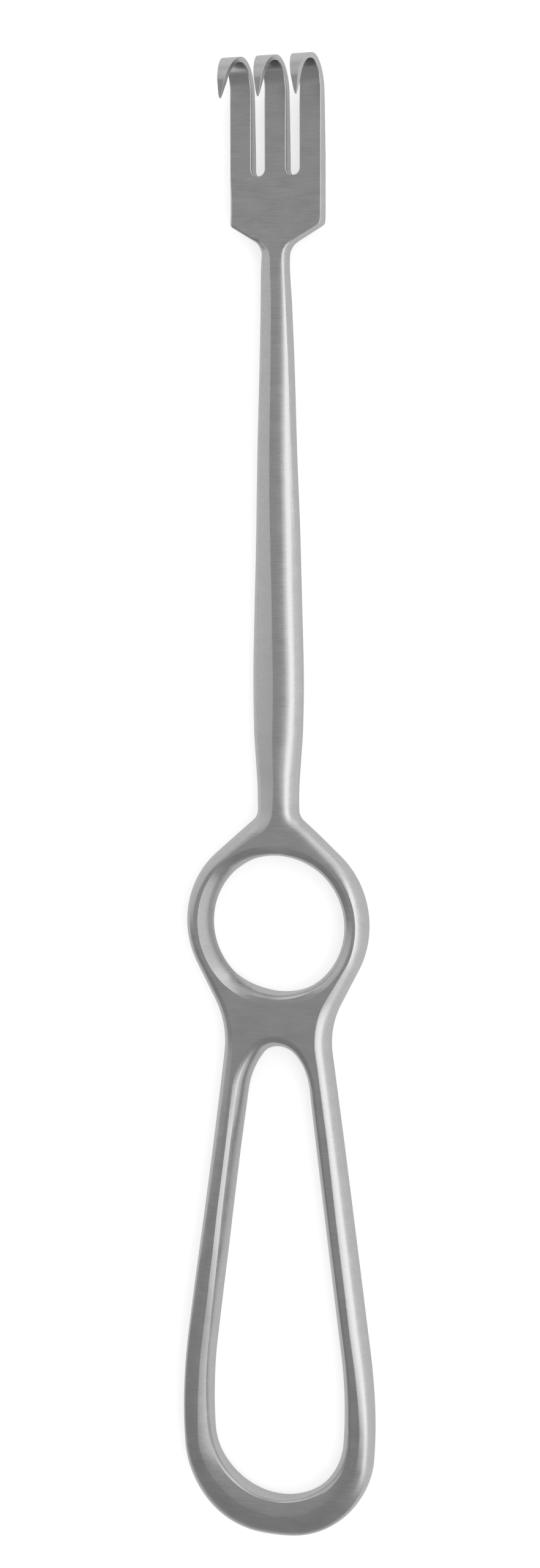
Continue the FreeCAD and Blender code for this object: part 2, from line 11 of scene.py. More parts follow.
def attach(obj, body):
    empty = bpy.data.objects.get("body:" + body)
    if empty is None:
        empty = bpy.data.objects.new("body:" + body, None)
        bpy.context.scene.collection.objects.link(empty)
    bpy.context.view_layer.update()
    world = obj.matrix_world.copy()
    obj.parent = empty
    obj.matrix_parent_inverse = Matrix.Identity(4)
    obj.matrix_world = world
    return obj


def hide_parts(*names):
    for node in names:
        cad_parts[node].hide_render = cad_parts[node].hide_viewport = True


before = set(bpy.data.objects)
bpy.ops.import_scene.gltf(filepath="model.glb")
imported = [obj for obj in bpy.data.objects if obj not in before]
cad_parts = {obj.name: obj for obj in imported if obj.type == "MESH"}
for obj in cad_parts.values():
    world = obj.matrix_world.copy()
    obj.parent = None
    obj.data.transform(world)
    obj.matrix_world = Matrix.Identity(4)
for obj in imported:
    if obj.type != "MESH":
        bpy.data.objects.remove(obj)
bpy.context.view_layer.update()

# Hand retractor with three sharp prongs, a finger ring and an open loop for the palm.
# The outlines are drawn in millimetres as complex numbers, x + y * 1j, with the metal on the
# left of each outline's way round.
mm = 0.001
length = 220.0
middle = 2.3                      # height of the plane halfway through the handle
base = -0.5j * length             # end of the handle
apex = 0.5 * length               # far edge of the hooks
step = 0.42                       # spacing of the points along an outline
arcTurn = 9.0                     # most degrees between two points on an arc
shankRows = 190                   # points along each side of the shank
mergeDistance = 1e-6              # metres, between points that are one


def polar(radius, degrees):
    return cmath.rect(radius, math.radians(degrees))


def crossing(pointA, wayA, pointB, wayB):
    gap = pointB - pointA
    return pointA + wayA * (gap.conjugate() * wayB).imag / (wayA.conjugate() * wayB).imag


def line(start, end):
    count = max(1, math.ceil(abs(end - start) / step))
    return [start + (end - start) * k / count for k in range(count)]


def arc(centre, start, end, turn=1):
    sweep = turn * cmath.phase((end - centre) / (start - centre)) % (2 * math.pi)
    count = math.ceil(max(abs(start - centre) * sweep / step, sweep / math.radians(arcTurn)))
    return [centre + (start - centre) * cmath.rect(1, turn * sweep * k / count)
            for k in range(count)]


def smoothTable(rows):
    # monotone cubic through rows of a place and its values
    rows = np.array(sorted(rows), float)
    places, values = rows[:, 0], rows[:, 1:]
    gaps = np.diff(places)[:, None]
    rises = np.diff(values, axis=0) / gaps
    slopes = np.zeros_like(values)
    product, total = rises[1:] * rises[:-1], rises[1:] + rises[:-1]
    same = product > 0
    slopes[1:-1][same] = 2 * product[same] / total[same]

    def read(at):
        at = np.clip(np.asarray(at, float), places[0], places[-1])
        k = np.clip(np.searchsorted(places, at) - 1, 0, len(places) - 2)
        t = ((at - places[k])[..., None]) / gaps[k]
        return ((1 + 2 * t) * (1 - t) ** 2 * values[k] + t * (1 - t) ** 2 * gaps[k] * slopes[k]
                + t * t * (3 - 2 * t) * values[k + 1] - t * t * (1 - t) * gaps[k] * slopes[k + 1])
    return read


def inward(points, closed):
    # unit normals on the metal's side
    points = np.array(points)
    if closed:
        way = np.roll(points, -1) - np.roll(points, 1)
    else:
        way = np.empty_like(points)
        way[1:-1] = points[2:] - points[:-2]
        way[0], way[-1] = points[1] - points[0], points[-1] - points[-2]
    return 1j * way / abs(way)


# the handle's outline, from its end up to the fork
handle = {
    "endRadius": 30.0, "cornerRadius": 13.6, "cornerOffset": 1.29,
    "bellyRadius": 100.0, "bellyRise": 4.0, "legAngle": 7.5,
    "waistRadius": 13.0, "flankAngle": 27.4,
    "ringFromEnd": 94.0, "ringRadius": 14.05, "boreRadius": 10.4, "boreShift": 0.15,
    "shoulderAngle": 42.0, "throatHalf": 3.12, "throatFillet": 2.1,
}
shankHalf = smoothTable([
    (1.0, 3.12), (4.0, 3.17), (8.5, 3.46), (13.0, 3.74), (20.0, 3.84), (31.0, 3.63),
    (40.0, 3.34), (49.0, 3.02), (58.0, 2.72), (67.0, 2.42), (75.0, 2.15), (82.0, 1.97)])
fork = {
    "prongs": 3, "prongWidth": 3.3, "slotWidth": 2.0, "thickness": 2.3,
    "slotFromApex": 16.7, "cornerFromApex": 23.2, "cornerAngle": 30.0, "cornerRound": 0.8,
    "neckHalf": 1.97, "neckFillet": 2.4, "seamFromApex": 15.4,
}
pitch = fork["prongWidth"] + fork["slotWidth"]
forkHalf = ((fork["prongs"] - 1) * pitch + fork["prongWidth"]) / 2
seamY = apex - fork["seamFromApex"]     # where the plate ends and the prongs go on


def rightSide():
    p = handle
    endCentre = base + 1j * p["endRadius"]
    reach = p["endRadius"] - p["cornerRadius"]
    corner = endCentre + p["cornerOffset"] - 1j * math.sqrt(reach ** 2 - p["cornerOffset"] ** 2)
    reach = p["bellyRadius"] - p["cornerRadius"]
    belly = corner - math.sqrt(reach ** 2 - p["bellyRise"] ** 2) + 1j * p["bellyRise"]
    endStop = endCentre + (corner - endCentre) / abs(corner - endCentre) * p["endRadius"]
    cornerStop = belly + (corner - belly) / abs(corner - belly) * p["bellyRadius"]
    legStart = belly + polar(p["bellyRadius"], p["legAngle"])
    legWay = polar(1, 90 + p["legAngle"])

    ring = base + 1j * p["ringFromEnd"]
    flankEnd = ring + polar(p["ringRadius"], -p["flankAngle"])
    flankWay = polar(1, 90 - p["flankAngle"])
    waist = crossing(legStart, legWay, flankEnd, flankWay)
    run = p["waistRadius"] * math.tan(math.radians(p["legAngle"] + p["flankAngle"]) / 2)
    legEnd, flankStart = waist - legWay * run, waist + flankWay * run
    waistCentre = legEnd - 1j * legWay * p["waistRadius"]

    slopeStart = ring + polar(p["ringRadius"], 90 - p["shoulderAngle"])
    slopeWay = polar(1, 180 - p["shoulderAngle"])
    throat = crossing(slopeStart, slopeWay, p["throatHalf"], 1j)
    run = p["throatFillet"] * math.tan(math.radians(90 - p["shoulderAngle"]) / 2)
    slopeEnd, throatEnd = throat - slopeWay * run, throat + 1j * run
    throatCentre = throatEnd + p["throatFillet"]

    q = fork
    cornerCentre = forkHalf - q["cornerRound"] + 1j * (apex - q["cornerFromApex"])
    forkCorner = cornerCentre + polar(q["cornerRound"], q["cornerAngle"] - 90)
    forkWay = polar(1, q["cornerAngle"])
    neck = crossing(forkCorner, forkWay, q["neckHalf"], 1j)
    run = q["neckFillet"] * math.tan(math.radians(90 - q["cornerAngle"]) / 2)
    neckEnd, filletEnd = neck - 1j * run, neck + forkWay * run

    heights = np.linspace(throatEnd.imag, neckEnd.imag, shankRows, endpoint=False)
    shank = [complex(half, y) for half, y in zip(shankHalf(heights)[:, 0], heights)]
    return (arc(endCentre, base, endStop) + arc(corner, endStop, cornerStop)
            + arc(belly, cornerStop, legStart) + line(legStart, legEnd)
            + arc(waistCentre, legEnd, flankStart, -1) + line(flankStart, flankEnd)
            + arc(ring, flankEnd, slopeStart) + line(slopeStart, slopeEnd)
            + arc(throatCentre, slopeEnd, throatEnd, -1) + shank
            + arc(neckEnd + q["neckFillet"], neckEnd, filletEnd, -1)
            + line(filletEnd, forkCorner)
            + arc(cornerCentre, forkCorner, forkHalf + 1j * cornerCentre.imag)
            + line(forkHalf + 1j * cornerCentre.imag, complex(forkHalf, seamY))
            + [complex(forkHalf, seamY)])


loopHole = {
    "endWall": 5.8, "endRadius": 10.35, "bellyRadius": 70.0, "bellyRise": 4.1,
    "topFromEnd": 75.6, "capRadius": 3.45, "blendRadius": 11.6, "blendDrop": 4.75,
}


def loopHoleOutline():
    p = loopHole
    bottom, top = base + 1j * p["endWall"], base + 1j * p["topFromEnd"]
    endCentre, capCentre = bottom + 1j * p["endRadius"], top - 1j * p["capRadius"]
    reach = p["bellyRadius"] - p["endRadius"]
    belly = endCentre - math.sqrt(reach ** 2 - p["bellyRise"] ** 2) + 1j * p["bellyRise"]
    reach = p["blendRadius"] - p["capRadius"]
    blend = capCentre - math.sqrt(reach ** 2 - p["blendDrop"] ** 2) - 1j * p["blendDrop"]
    endStop = belly + (endCentre - belly) / abs(endCentre - belly) * p["bellyRadius"]
    capStart = blend + (capCentre - blend) / abs(capCentre - blend) * p["blendRadius"]
    gap = blend - belly
    lean = math.asin((p["blendRadius"] - p["bellyRadius"]) / abs(gap))
    across = cmath.rect(1, cmath.phase(gap) - lean - math.pi / 2)
    legStart, legEnd = belly + across * p["bellyRadius"], blend + across * p["blendRadius"]
    right = (arc(endCentre, bottom, endStop) + arc(belly, endStop, legStart)
             + line(legStart, legEnd) + arc(blend, legEnd, capStart)
             + arc(capCentre, capStart, top) + [top])
    left = [-z.conjugate() for z in right[-2:0:-1]]
    return (right + left)[::-1]


def slotOutline(centreX):
    radius = fork["slotWidth"] / 2
    centre = complex(centreX, apex - fork["slotFromApex"] + radius)
    return (line(complex(centreX + radius, seamY), centre + radius)
            + arc(centre, centre + radius, centre - radius, -1)
            + line(centre - radius, complex(centreX - radius, seamY))
            + [complex(centreX - radius, seamY)])


# How the edges are ground, for places along the tool: the width of the rounding in from the
# outline, then its slope in degrees at these shares of the way across, from the flat outwards.
slopePlaces = np.array([0, 0.2, 0.4, 0.6, 0.8, 0.92, 1])
ringCuts = np.array([0, 0.04, 0.12, 0.25, 0.4, 0.46, 0.54, 0.62, 0.73, 0.84, 0.93, 1])
faceCut = 5                       # ring cut that lies on the crease between two ground faces
grinding = {
    "crease": 19,                 # degrees between faces from which an edge shades sharply
    "crestGap": 0.05,             # flat kept beside a rounding, so that its edge shades crisply
    "land": 0.1,                  # half the upright wall left at an outline
    "waverScale": 0.12, "waverPlace": 3.7,
    "outerWaver": 0.05, "holeWaver": 0.06, "boreWaver": 0.04, "waverFade": 4.0,
}
halfThickness = smoothTable([
    (-110, 1.9), (-100, 2.0), (-88, 2.2), (-70, 2.3), (-4, 2.3), (4, 2.2), (20, 2.2),
    (50, 2.05), (75, 1.8), (79, 1.62), (83, 1.36), (86.5, 1.2), (90, 1.15), (110, 1.15)])
sharpEdge = (0.15, 20, 30, 40, 50, 60, 68, 76)
plateSide = (0.34, 25, 28, 32, 38, 48, 60, 76)
loopEnd = (3.0, 6, 10, 15, 22, 30, 38, 50)
leftEdge = smoothTable([
    (-110,) + loopEnd,
    (-102, 2.6, 8, 12, 18, 25, 36, 47, 66),
    (-92, 2.1, 5, 7, 10, 17, 32, 52, 76),
    (-79, 2.0, 6, 8, 12, 20, 36, 54, 76),
    (-60, 2.0, 11, 15, 22, 34, 50, 62, 77),
    (-45, 2.0, 18, 23, 31, 43, 57, 66, 78),
    (-30, 1.8, 18, 24, 32, 44, 58, 67, 78),
    (-16, 1.6, 12, 22, 34, 46, 60, 68, 78),
    (-8, 1.6, 12, 20, 30, 42, 56, 66, 78),
    (-5, 1.75, 12, 19, 28, 40, 55, 65, 78),
    (-2, 2.1, 12, 17, 25, 37, 52, 63, 77),
    (1, 3.0, 13, 17, 23, 32, 47, 60, 76),
    (8, 3.35, 15, 17, 21, 28, 42, 56, 76),
    (19, 3.8, 15, 17, 20, 27, 40, 54, 76),
    (30, 3.45, 15, 17, 20, 27, 40, 54, 76),
    (48, 2.55, 15, 17, 20, 28, 42, 56, 76),
    (66, 2.22, 14, 16, 20, 28, 42, 56, 76),
    (75, 2.06, 14, 16, 20, 27, 41, 55, 76),
    (81.3, 1.7, 14, 17, 21, 28, 41, 54, 76),
    (82.5, 1.4, 14, 18, 23, 31, 44, 56, 76),
    (83.1, 0.95, 12, 18, 26, 36, 48, 58, 76),
    (83.85, 0.66, 16, 21, 29, 37, 48, 60, 76),
    (84.4,) + plateSide, (90,) + plateSide, (93.6,) + sharpEdge, (110,) + sharpEdge])
rightEdge = smoothTable([
    (-110,) + loopEnd,
    (-102, 2.5, 8, 12, 17, 25, 40, 56, 76),
    (-92, 1.6, 14, 17, 20, 26, 38, 52, 76),
    (-79, 1.9, 17, 21, 25, 31, 43, 57, 76),
    (-60, 1.9, 18, 22, 26, 32, 44, 58, 76),
    (-45, 1.65, 18, 23, 27, 34, 46, 60, 77),
    (-38, 1.65, 18, 23, 27, 34, 46, 60, 77),
    (-30, 1.85, 20, 24, 28, 34, 46, 60, 77),
    (-20, 1.2, 26, 29, 33, 38, 47, 61, 78),
    (-13, 1.15, 27, 29, 33, 37, 46, 60, 78),
    (-9, 1.25, 14, 22, 29, 36, 46, 60, 78),
    (-5.5, 1.6, 4, 13, 22, 31, 43, 58, 78),
    (-2, 2.0, 2, 8, 16, 25, 40, 56, 77),
    (1, 2.7, 1, 8, 17, 27, 41, 56, 77),
    (4, 2.95, 2, 10, 18, 28, 40, 54, 77),
    (8, 3.25, 2, 10, 18, 27, 38, 52, 76),
    (19, 3.55, 1, 7, 14, 23, 35, 48, 76),
    (30, 3.66, 0, 6, 14, 24, 35, 49, 77),
    (48, 3.28, 0, 5, 11, 21, 30, 38, 74),
    (66, 2.45, 0, 4, 9, 15, 25, 35, 74),
    (75, 1.98, 0, 4, 8, 12, 22, 33, 74),
    (79, 1.8, 0, 3, 6, 10, 21, 34, 74),
    (81.4, 1.4, 0, 2, 6, 14, 30, 46, 76),
    (83, 0.7, 0, 6, 16, 30, 46, 60, 76),
    (84.1, 0.22, 10, 20, 32, 44, 56, 66, 76),
    (84.6,) + sharpEdge, (110,) + sharpEdge])
# how far the hand grinding moved each edge to the right, for places along the tool
outlineShift = smoothTable([
    (-110, -0.45), (-104, -0.2), (-97, 0.0), (-60, 0.0), (-30, -0.15), (-16, -0.25),
    (0, -0.05), (20, 0.0), (40, -0.03), (55, -0.2), (66, -0.24), (75, -0.36), (80, -0.48),
    (84, -0.25), (88, 0.0), (110, 0.0)])
holeShift = smoothTable([(-110, 0.0), (-60, 0.0), (-43, 0.06), (-37, 0.22), (-30, 0.25)])
noShift = smoothTable([(-110, 0.0), (110, 0.0)])

# The openings' edges have two ground faces: the width of both, the inner face's share of it, then
# the slopes in degrees where that face starts and ends, and where the other one starts and ends.
holeLeft = smoothTable([
    (-104.5, 2.45, 0.86, 3, 12, 34, 72),
    (-101, 2.45, 0.82, 6, 16, 38, 74),
    (-98, 2.4, 0.76, 11, 20, 42, 76),
    (-92, 1.95, 0.68, 16, 22, 52, 76),
    (-79, 1.75, 0.56, 17, 22, 56, 76),
    (-60, 1.7, 0.4, 22, 24, 52, 68),
    (-50, 1.7, 0.37, 22, 24, 52, 68),
    (-43, 1.75, 0.4, 18, 24, 42, 70),
    (-38, 1.85, 0.4, 10, 26, 36, 72),
    (-34, 1.8, 0.4, 3, 20, 34, 70)])
holeRight = smoothTable([
    (-104.5, 2.45, 0.86, 3, 12, 34, 72),
    (-101, 2.3, 0.6, 2, 16, 30, 74),
    (-98, 2.1, 0.4, 4, 20, 42, 76),
    (-92, 1.6, 0.25, 22, 34, 52, 76),
    (-60, 1.5, 0.22, 30, 38, 54, 76),
    (-43, 1.5, 0.3, 30, 38, 52, 76),
    (-38, 1.65, 0.4, 22, 34, 48, 74),
    (-34, 1.8, 0.4, 3, 20, 34, 70)])
crispBore = np.array([1.78, 0.5, 44, 48, 50, 62])
softBore = np.array([1.6, 0.58, 3, 12, 30, 66])
sideBore = np.array([1.6, 0.55, 16, 26, 42, 66])


def twoFaces(rows):
    # cuts and slopes across two ground faces that meet in a crease
    share = rows[:, 1:2]
    split = ringCuts[faceCut]
    innerCuts = ringCuts[:faceCut + 1] / split * share
    outerCuts = share + (1 - share) * (ringCuts[faceCut + 1:] - split) / (1 - split)
    cuts = np.hstack([innerCuts, outerCuts])
    middles = (cuts[:, 1:] + cuts[:, :-1]) / 2
    inner = rows[:, 2:3] + (rows[:, 3:4] - rows[:, 2:3]) * middles / share
    outer = rows[:, 4:5] + (rows[:, 5:6] - rows[:, 4:5]) * (middles - share) / (1 - share)
    return cuts, np.where(middles < share, inner, outer)


def roundedFace(rows):
    middles = (ringCuts[1:] + ringCuts[:-1]) / 2
    slopes = np.stack([np.interp(middles, slopePlaces, row) for row in rows[:, 1:]])
    return np.tile(ringCuts, (len(rows), 1)), slopes


def edgeRings(rows, height):
    # distance in from the outline and height over the middle plane, outline first
    width = rows[:, :1]
    rounded = rows.shape[1] == len(slopePlaces) + 1
    cuts, slopes = roundedFace(rows) if rounded else twoFaces(rows)
    drop = np.cumsum(np.tan(np.radians(slopes)) * np.diff(cuts, axis=1), axis=1) * width
    drop *= np.minimum(1, (height[:, None] - grinding["land"]) / drop[:, -1:])
    inset = np.hstack([width * (1 - cuts[:, ::-1]), width + grinding["crestGap"]])
    lift = np.hstack([-drop[:, ::-1], 0 * width, 0 * width])
    return inset, height[:, None] + lift


class MetalMesh:
    # points in millimetres, and faces between them
    def __init__(self):
        self.points, self.faces = [], []

    def add(self, flat, lift):
        # front and back rows of vertices, as two index arrays
        start = len(self.points)
        self.points += [(z.real, z.imag, middle + h) for z, h in zip(flat, lift)]
        back = len(self.points)
        self.points += [(z.real, z.imag, middle - h) for z, h in zip(flat, lift)]
        return np.arange(start, back), np.arange(back, len(self.points))

    def strip(self, a, b, closed):
        for i in range(len(a) if closed else len(a) - 1):
            j = (i + 1) % len(a)
            self.faces.append((a[i], a[j], b[j], b[i]))


metal = MetalMesh()


def grindEdge(outline, closed, rows, shift, unevenness=0.0):
    # adds the land and the rounding along an outline, and returns its inner rows
    outline = np.array(outline)
    scale, level = grinding["waverScale"], grinding["waverPlace"]
    waver = [noise.noise(Vector((z.real * scale, z.imag * scale, level))) for z in outline]
    rows[:, 0] *= 1 + unevenness * np.array(waver)
    inset, lift = edgeRings(rows, halfThickness(outline.imag)[:, 0])
    moved = outline[:, None] + inward(outline, closed)[:, None] * inset + shift(outline.imag)
    rings = [metal.add(moved[:, k], lift[:, k]) for k in range(inset.shape[1])]
    metal.strip(*rings[0], closed)
    for (frontA, backA), (frontB, backB) in zip(rings, rings[1:]):
        metal.strip(frontA, frontB, closed)
        metal.strip(backA, backB, closed)
    return rings[-1]


right = rightSide()
outer = np.array([-z.conjugate() for z in right[:0:-1]] + right)
rows = np.where(outer.real[:, None] > 0, rightEdge(outer.imag), leftEdge(outer.imag))
belowThroat = np.clip(-outer.imag / grinding["waverFade"], 0, 1)
outerRing = grindEdge(outer, False, rows, outlineShift, grinding["outerWaver"] * belowThroat)

slotRings = []
for k in range(fork["prongs"] - 1):
    slot = slotOutline((k - (fork["prongs"] - 2) / 2) * pitch)
    slotRings.append(grindEdge(slot, False, np.array([sharpEdge] * len(slot)), noShift))

hole = np.array(loopHoleOutline())
rows = np.where(hole.real[:, None] > 0, holeRight(hole.imag), holeLeft(hole.imag))
holeRing = grindEdge(hole, True, rows, holeShift, grinding["holeWaver"])

ringBore = {"points": 170, "fadeFrom": 2.0, "fadeOver": 5.0}
ringCentre = base + 1j * handle["ringFromEnd"] + handle["boreShift"]
around = np.linspace(0, -2 * math.pi, ringBore["points"], endpoint=False)
bore = ringCentre + handle["boreRadius"] * np.exp(1j * around)
crisp, side = (np.clip((x - ringBore["fadeFrom"]) / ringBore["fadeOver"], 0, 1)[:, None]
               for x in (-bore.real, bore.real))
rows = crispBore * crisp + sideBore * side + softBore * (1 - crisp - side)
boreRing = grindEdge(bore, True, rows, noShift, grinding["boreWaver"])
print("edges:", len(metal.points), "points")

# the flats, filled between the inner rows, with the prongs' ends left open
flats = {
    "gridStep": 0.75, "rowStep": 0.6525, "clearance": 0.42, "columns": 20,
    "lowest": -109.0, "highest": 95.0, "seamPoints": 5,
}


def seamPoints(leftX, rightX):
    count = flats["seamPoints"]
    return [complex(rightX + (leftX - rightX) * (k + 1) / (count + 1), seamY) for k in range(count)]


frontIds, backIds = [], []


def addBorder(ring):
    frontIds.extend(ring[0])
    backIds.extend(ring[1])


addBorder(outerRing)
for k in reversed(range(fork["prongs"])):
    rightX = metal.points[frontIds[-1]][0]
    following = slotRings[k - 1][0][0] if k else outerRing[0][0]
    leftX = metal.points[following][0]
    seam = seamPoints(leftX, rightX)
    addBorder(metal.add(seam, [fork["thickness"] / 2] * len(seam)))
    if k:
        addBorder(slotRings[k - 1])
loops = [len(frontIds)]
addBorder(holeRing)
loops.append(len(frontIds))
addBorder(boreRing)
loops.append(len(frontIds))

flat = np.array([complex(*metal.points[i][:2]) for i in frontIds])


def insideLoop(points, loop):
    inside = np.zeros(len(points), bool)
    for start, end in zip(loop, np.roll(loop, -1)):
        crosses = (start.imag > points.imag) != (end.imag > points.imag)
        rise = end.imag - start.imag
        if rise == 0:
            continue
        x = start.real + (points.imag - start.imag) * (end.real - start.real) / rise
        inside ^= crosses & (points.real < x)
    return inside


rims = [flat[:loops[0]], flat[loops[0]:loops[1]], flat[loops[1]:loops[2]]]


def onMetal(points):
    return insideLoop(points, rims[0]) & ~insideLoop(points, rims[1]) & ~insideLoop(points, rims[2])


gridRows = np.arange(flats["lowest"], flats["highest"], flats["rowStep"])
grid = np.array([complex((x + (row % 2) / 2) * flats["gridStep"], y)
                 for row, y in enumerate(gridRows)
                 for x in range(-flats["columns"], flats["columns"] + 1)])
grid = grid[onMetal(grid)]
near = np.array([np.min(abs(flat - z)) for z in grid])
grid = grid[near > flats["clearance"]]
frontGrid, backGrid = metal.add(grid, halfThickness(grid.imag)[:, 0])
allFront = np.concatenate([frontIds, frontGrid])
allBack = np.concatenate([backIds, backGrid])
vectors = [Vector((z.real, z.imag)) for z in np.concatenate([flat, grid])]
edges, start = [], 0
for stop in loops:
    edges += [(i, i + 1 if i + 1 < stop else start) for i in range(start, stop)]
    start = stop
filled = delaunay_2d_cdt(vectors, edges, [], 1, mergeDistance)
verts, triangles, origins = filled[0], filled[2], filled[3]
print("flats:", len(vectors), "points in,", len(verts), "out,", len(triangles), "triangles")
for place, origin in zip(verts, origins):
    if not origin:
        print("crossing rows at", tuple(round(c, 2) for c in place))
middles = np.array([complex(*(sum((verts[i] for i in tri), Vector((0, 0))) / 3))
                    for tri in triangles])
for tri, keep in zip(triangles, onMetal(middles)):
    if keep:
        ids = [origins[i][0] for i in tri]
        metal.faces.append(tuple(allFront[i] for i in ids))
        metal.faces.append(tuple(allBack[i] for i in reversed(ids)))
print("handle and plate:", len(metal.points), "points,", len(metal.faces), "faces")

# prongs and hooks, swept by geometry nodes
hook = {
    "outerRadius": 4.8, "outerCentre": (4.8, 4.15), "innerRadius": 3.5, "innerCentre": (4.37, 4.65),
    "apexFromEnd": 0.3, "thinningFromEnd": 14.0, "bendWidthFromEnd": 6.5, "hookWidth": 3.1,
    "tipFromEnd": 6.7, "tipLift": 9.15, "tipThickness": 0.4, "tipWidth": 0.42,
    "pointLength": 0.5, "pointWidth": 0.12, "tipSpread": 5.65,
    # how closely the stations stand, and how many of them all lie on the way to the apex
    "spacing": 0.5, "bladeSpacing": 0.25, "bendRows": 44, "risingRows": 40,
}


def tangentFrom(point, centre, radius, side):
    gap = centre - point
    spread = math.asin(radius / abs(gap))
    reach = math.sqrt(abs(gap) ** 2 - radius ** 2)
    return point + cmath.rect(reach, cmath.phase(gap) + side * spread)


def hookStations():
    # pairs of points on the back and the front of a prong, in its side view (y, z)
    p = hook
    half = fork["thickness"] / 2
    end = apex - p["apexFromEnd"]
    outerCentre, innerCentre = (complex(end - p[name][0], p[name][1])
                                for name in ("outerCentre", "innerCentre"))
    thin = apex - p["thinningFromEnd"]
    tipTop = complex(apex - p["tipFromEnd"], p["tipLift"])
    tipBottom = tipTop - 1j * p["tipThickness"]
    outerStart = tangentFrom(complex(thin, -half), outerCentre, p["outerRadius"], -1)
    outerEnd = tangentFrom(tipTop, outerCentre, p["outerRadius"], 1)
    innerEnd = tangentFrom(tipBottom, innerCentre, p["innerRadius"], 1)
    innerStart = innerCentre - 1j * p["innerRadius"]
    pairs = []

    def run(backA, backB, frontA, frontB, spacing):
        count = math.ceil(abs(backB - backA) / spacing)
        for k in range(count):
            t = k / count
            pairs.append((backA + (backB - backA) * t, frontA + (frontB - frontA) * t))

    def bent(centre, radius, start, end):
        turns = np.linspace(cmath.phase(start - centre), cmath.phase(end - centre), p["bendRows"])
        return [centre + cmath.rect(radius, turn) for turn in turns]

    bend = list(zip(bent(outerCentre, p["outerRadius"], outerStart, outerEnd),
                    bent(innerCentre, p["innerRadius"], innerStart, innerEnd)))
    thinBack, thinFront = complex(thin, -half), complex(thin, half)
    run(complex(seamY, -half), thinBack, complex(seamY, half), thinFront, p["spacing"])
    run(thinBack, bend[0][0], thinFront, bend[0][1], p["spacing"])
    pairs.extend(bend[:-1])
    run(bend[-1][0], tipTop, bend[-1][1], tipBottom, p["bladeSpacing"])
    pairs.append((tipTop, tipBottom))
    return pairs


def prongSection():
    # one prong's section at the seam, with the plate's own points, right side first
    half = fork["prongWidth"] / 2
    inset, lift = edgeRings(np.array([sharpEdge]), np.array([fork["thickness"] / 2]))
    side = [(half - o, h) for o, h in zip(inset[0], lift[0])]
    flatX = [z.real for z in seamPoints(-side[-1][0], side[-1][0])]
    front = side + [(x, side[-1][1]) for x in flatX] + [(-x, h) for x, h in reversed(side)]
    return front + [(x, -h) for x, h in reversed(front)]


def curveObject(name, points, closed, thick=None):
    data = bpy.data.curves.new(name, "CURVE")
    data.dimensions = "3D"
    spline = data.splines.new("POLY")
    spline.points.add(len(points) - 1)
    for k, point in enumerate(points):
        spline.points[k].co = (*(c * mm for c in point), 1)
        spline.points[k].radius = 1 if thick is None else thick[k]
    spline.use_cyclic_u = closed
    obj = bpy.data.objects.new(name, data)
    bpy.context.scene.collection.objects.link(obj)
    return obj


def nodeAdder(tree):
    # a function that adds a node, with its inputs by place as links or values
    def add(kind, *inputs, **settings):
        made = tree.nodes.new(kind)
        for key, value in settings.items():
            setattr(made, key, value)
        for place, value in enumerate(inputs):
            if isinstance(value, bpy.types.NodeSocket):
                tree.links.new(value, made.inputs[place])
            elif value is not None:
                made.inputs[place].default_value = value
        return made
    return add


stations = hookStations()
centres = [(a + b) / 2 for a, b in stations]
walked = np.concatenate([[0], np.cumsum(abs(np.diff(centres)))])
apexAt = walked[int(np.argmax([z.real for z in centres]))]
rising = slice(hook["risingRows"])
bendAt = np.interp(apex - hook["bendWidthFromEnd"], [z.real for z in centres[rising]],
                   walked[rising])
path = curveObject("hookPath", [(0, z.real, middle + z.imag) for z in centres], False,
                   [abs(a - b) / fork["thickness"] for a, b in stations])
section = curveObject("prongSection", [(x, h, 0) for x, h in prongSection()], True)


